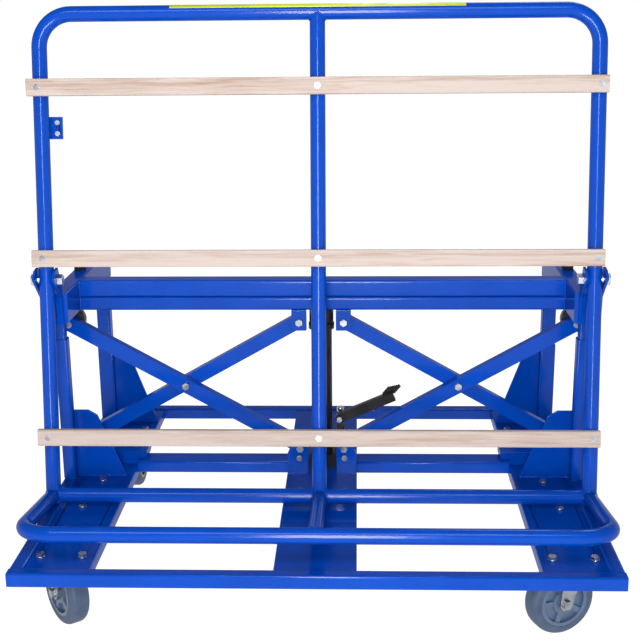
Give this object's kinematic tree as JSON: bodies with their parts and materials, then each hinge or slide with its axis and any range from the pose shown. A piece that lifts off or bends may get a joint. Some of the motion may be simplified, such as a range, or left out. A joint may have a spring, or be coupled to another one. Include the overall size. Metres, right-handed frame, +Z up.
{
  "type": "panel cart",
  "caption": "Castored panel cart whose slatted tube rack lifts on a scissor carriage with a hydraulic jack and tilts flat to load and unload boards.",
  "frame": {"origin": "on the floor under the middle of the base", "axes": "+X to the right of someone facing the rack, +Y from the rack to the rear of the base, +Z up"},
  "size_m": [1.288, 1.015, 1.2945],
  "materials": {
    "blue_paint": "glossy powder coat",
    "zinc": "bright zinc",
    "black_paint": "satin black",
    "rubber": "moulded",
    "black_nylon": "satin",
    "timber": "raw planed",
    "tread": "grey elastic rubber",
    "wheel_centre": "moulded"
  },
  "bodies": {
    "base": {"front_rail": "blue_paint", "rear_rail": "blue_paint", "chassis_sides": "blue_paint", "side_plates": "blue_paint", "centre_plate": "blue_paint", "plate_lips": "blue_paint", "cross_rails": "blue_paint", "roller_tracks": "blue_paint", "front_sleeves": "blue_paint", "rear_sleeves": "blue_paint", "gussets": "blue_paint", "low_brackets": "blue_paint", "low_pins": "zinc", "base_bolts": "zinc", "castor_plates": "zinc", "jack_base": "black_paint", "jack_barrel": "black_paint", "pedal_pin": "zinc"},
    "carriage": {"beam": "blue_paint", "carriage_rails": "blue_paint", "inner_tubes": "blue_paint", "tilt_forks": "blue_paint", "top_brackets": "blue_paint", "pivot_bolts": "zinc", "stop_pads": "rubber", "rest_pads": "rubber", "jack_ram": "black_paint"},
    "rack": {"hoop": "blue_paint", "centre_post": "blue_paint", "lip_frame": "blue_paint", "slats": "timber", "catch_plate": "blue_paint", "rack_screws": "zinc"},
    "pedal_arm": {"pedal": "black_paint"},
    "pump_plunger": {"plunger": "zinc"},
    "release": {"release_knob": "black_paint"},
    "link_front_left": {"front_link_left": "blue_paint", "front_pins_left": "zinc"},
    "link_rear_left": {"rear_link_left": "blue_paint", "rear_pins_left": "zinc"},
    "top_wheel_left": {"upper_roller_left": "black_nylon"},
    "low_wheel_left": {"lower_roller_left": "black_nylon"},
    "link_front_right": {"front_link_right": "blue_paint", "front_pins_right": "zinc"},
    "link_rear_right": {"rear_link_right": "blue_paint", "rear_pins_right": "zinc"},
    "top_wheel_right": {"upper_roller_right": "black_nylon"},
    "low_wheel_right": {"lower_roller_right": "black_nylon"},
    "castor_fl": {"castor_fork_fl": "zinc"},
    "wheel_fl": {"hub_fl": "wheel_centre", "tyre_fl": "tread"},
    "castor_fr": {"castor_fork_fr": "zinc"},
    "wheel_fr": {"hub_fr": "wheel_centre", "tyre_fr": "tread"},
    "castor_rl": {"castor_fork_rl": "zinc"},
    "wheel_rl": {"hub_rl": "wheel_centre", "tyre_rl": "tread"},
    "castor_rr": {"castor_fork_rr": "zinc"},
    "wheel_rr": {"hub_rr": "wheel_centre", "tyre_rr": "tread"}
  },
  "joints": [
    {"name": "lift", "type": "hinge", "parent": "base", "child": "link_front_left", "pos_m": [-0.053, 0.0505, 0.25], "axis": [0, 1, 0], "range_deg": [0, 20]},
    {"name": "cross_left", "type": "hinge", "parent": "link_front_left", "child": "link_rear_left", "pos_m": [-0.328, 0.0775, 0.4055], "axis": [0, 1, 0], "range_deg": [-40, 0]},
    {"name": "carriage_level", "type": "hinge", "parent": "link_rear_left", "child": "carriage", "pos_m": [-0.053, 0.0775, 0.561], "axis": [0, 1, 0], "range_deg": [0, 20]},
    {"name": "lift_right", "type": "hinge", "parent": "base", "child": "link_front_right", "pos_m": [0.053, 0.0505, 0.25], "axis": [0, 1, 0], "range_deg": [-20, 0]},
    {"name": "cross_right", "type": "hinge", "parent": "link_front_right", "child": "link_rear_right", "pos_m": [0.328, 0.0775, 0.4055], "axis": [0, 1, 0], "range_deg": [0, 40]},
    {"name": "tilt", "type": "hinge", "parent": "carriage", "child": "rack", "pos_m": [0, -0.0975, 0.702], "axis": [-1, 0, 0], "range_deg": [0, 81.5]},
    {"name": "upper_roll_left", "type": "hinge", "parent": "link_front_left", "child": "top_wheel_left", "pos_m": [-0.603, 0.0845, 0.561], "axis": [0, 1, 0], "continuous": true},
    {"name": "lower_roll_left", "type": "hinge", "parent": "link_rear_left", "child": "low_wheel_left", "pos_m": [-0.603, 0.1115, 0.25], "axis": [0, 1, 0], "continuous": true},
    {"name": "upper_roll_right", "type": "hinge", "parent": "link_front_right", "child": "top_wheel_right", "pos_m": [0.603, 0.0845, 0.561], "axis": [0, 1, 0], "continuous": true},
    {"name": "lower_roll_right", "type": "hinge", "parent": "link_rear_right", "child": "low_wheel_right", "pos_m": [0.603, 0.1115, 0.25], "axis": [0, 1, 0], "continuous": true},
    {"name": "swivel_fl", "type": "hinge", "parent": "base", "child": "castor_fl", "pos_m": [-0.532, -0.3705, 0.16], "axis": [0, 0, 1], "continuous": true},
    {"name": "roll_fl", "type": "hinge", "parent": "castor_fl", "child": "wheel_fl", "pos_m": [-0.54431, -0.35474, 0.075], "axis": [-0.788, -0.6157, 0], "continuous": true},
    {"name": "swivel_fr", "type": "hinge", "parent": "base", "child": "castor_fr", "pos_m": [0.532, -0.3705, 0.16], "axis": [0, 0, 1], "continuous": true},
    {"name": "roll_fr", "type": "hinge", "parent": "castor_fr", "child": "wheel_fr", "pos_m": [0.51359, -0.37832, 0.075], "axis": [0.3907, -0.9205, 0], "continuous": true},
    {"name": "swivel_rl", "type": "hinge", "parent": "base", "child": "castor_rl", "pos_m": [-0.532, 0.3705, 0.16], "axis": [0, 0, 1], "continuous": true},
    {"name": "roll_rl", "type": "hinge", "parent": "castor_rl", "child": "wheel_rl", "pos_m": [-0.532, 0.3905, 0.075], "axis": [-1, 0, 0], "continuous": true},
    {"name": "swivel_rr", "type": "hinge", "parent": "base", "child": "castor_rr", "pos_m": [0.532, 0.3705, 0.16], "axis": [0, 0, 1], "continuous": true},
    {"name": "roll_rr", "type": "hinge", "parent": "castor_rr", "child": "wheel_rr", "pos_m": [0.532, 0.3905, 0.075], "axis": [-1, 0, 0], "continuous": true},
    {"name": "pedal_press", "type": "hinge", "parent": "base", "child": "pedal_arm", "pos_m": [0.042, 0.0895, 0.307], "axis": [0, 1, 0], "range_deg": [0, 25], "stiffness_Nm_per_rad": 2, "springref_deg": -34.38},
    {"name": "plunger_stroke", "type": "slide", "parent": "base", "child": "pump_plunger", "axis": [0, 0, -1], "range_m": [0, 0.0075]},
    {"name": "release_turn", "type": "hinge", "parent": "base", "child": "release", "pos_m": [0, 0.13, 0.202], "axis": [0, 1, 0], "range_deg": [0, 90]}
  ],
  "couplings": [
    {"joint": "cross_left", "follows": "lift", "ratio": -2},
    {"joint": "carriage_level", "follows": "lift", "ratio": 1},
    {"joint": "lift_right", "follows": "lift", "ratio": -1},
    {"joint": "cross_right", "follows": "lift", "ratio": 2},
    {"joint": "plunger_stroke", "follows": "pedal_press", "m_per_rad": 0.016}
  ]
}
